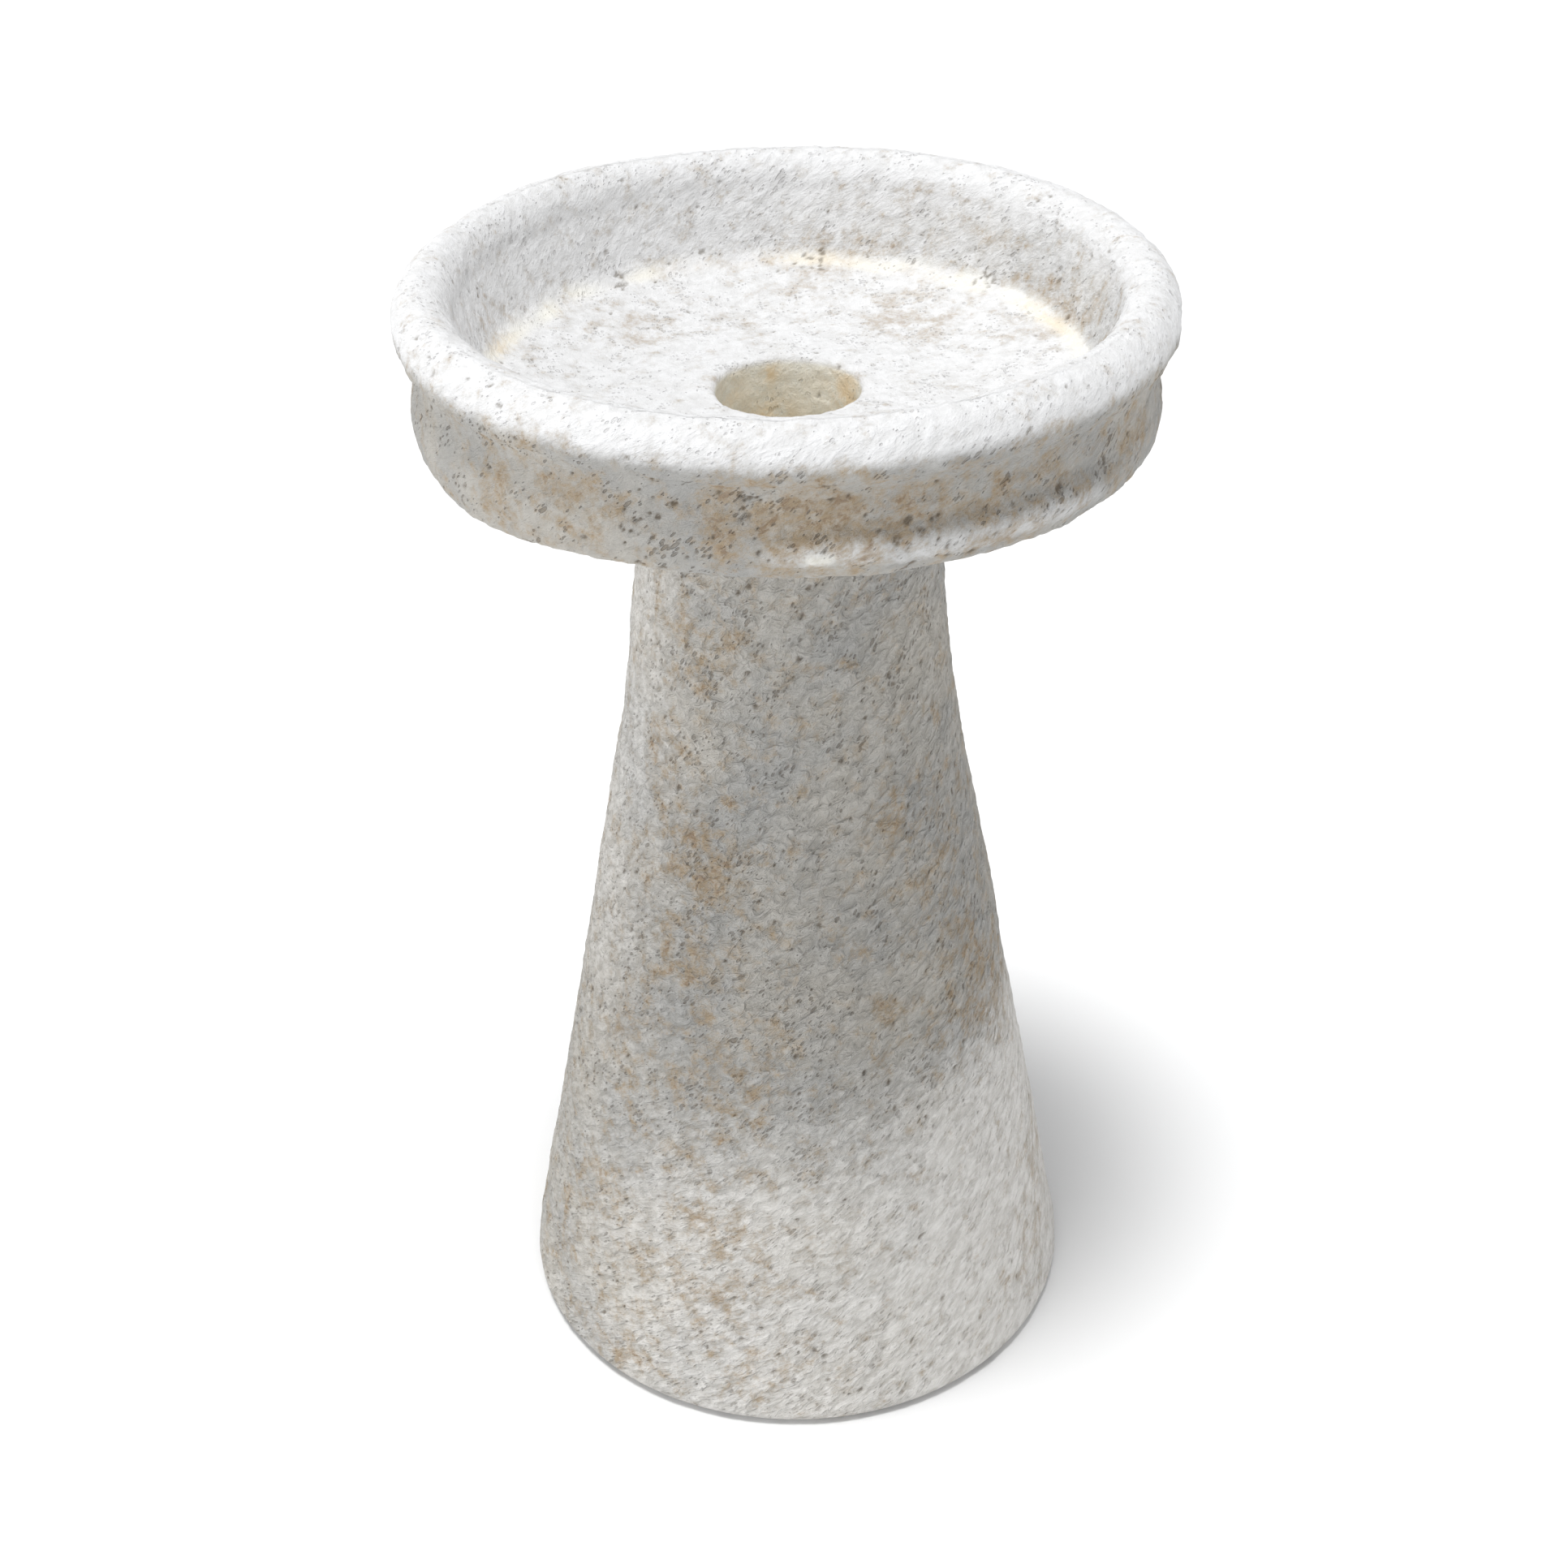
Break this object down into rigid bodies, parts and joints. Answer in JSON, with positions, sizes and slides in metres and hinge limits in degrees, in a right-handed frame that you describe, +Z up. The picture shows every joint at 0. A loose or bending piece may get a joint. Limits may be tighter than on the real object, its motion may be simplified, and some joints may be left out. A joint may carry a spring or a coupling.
{
  "type": "bird bath",
  "caption": "Round cast stone bird bath: a dish with a rolled rim and a centre well with a drain stopper, lifted on and off a hollow tapered pedestal.",
  "frame": {"origin": "on the ground under the centre of the pedestal, on the axis that basin, well and pedestal share", "axes": "+Z up along the axis of the basin and the pedestal; -Y towards the viewer of the reference view; +X to that viewer's right"},
  "size_m": [0.3998, 0.3998, 0.658],
  "materials": {
    "cast_stone": "matte",
    "rubber": "matte",
    "steel": "satin"
  },
  "bodies": {
    "pedestal": {"pedestal": "cast_stone", "foot_pad_back_right": "rubber", "foot_pad_back_left": "rubber", "foot_pad_front_left": "rubber", "foot_pad_front_right": "rubber"},
    "gasket": {"seat_gasket": "rubber"},
    "basin": {"basin": "cast_stone"},
    "stopper": {"drain_stopper": "rubber", "stopper_eye_pin": "steel", "stopper_washer": "steel"},
    "pull_ring": {"stopper_pull_ring": "steel"}
  },
  "joints": [
    {"name": "basin_turn", "type": "hinge", "parent": "pedestal", "child": "gasket", "pos_m": [0, 0, 0.5753], "axis": [0, 0, 1], "continuous": true},
    {"name": "basin_lift", "type": "slide", "parent": "gasket", "child": "basin", "axis": [0, 0, 1], "range_m": [0, 0.12]},
    {"name": "stopper_pull", "type": "slide", "parent": "basin", "child": "stopper", "axis": [0, 0, 1], "range_m": [0, 0.16]},
    {"name": "pull_ring_swing", "type": "hinge", "parent": "stopper", "child": "pull_ring", "pos_m": [0, 0, 0.543], "axis": [-1, 0, 0], "range_deg": [0, 164]}
  ]
}
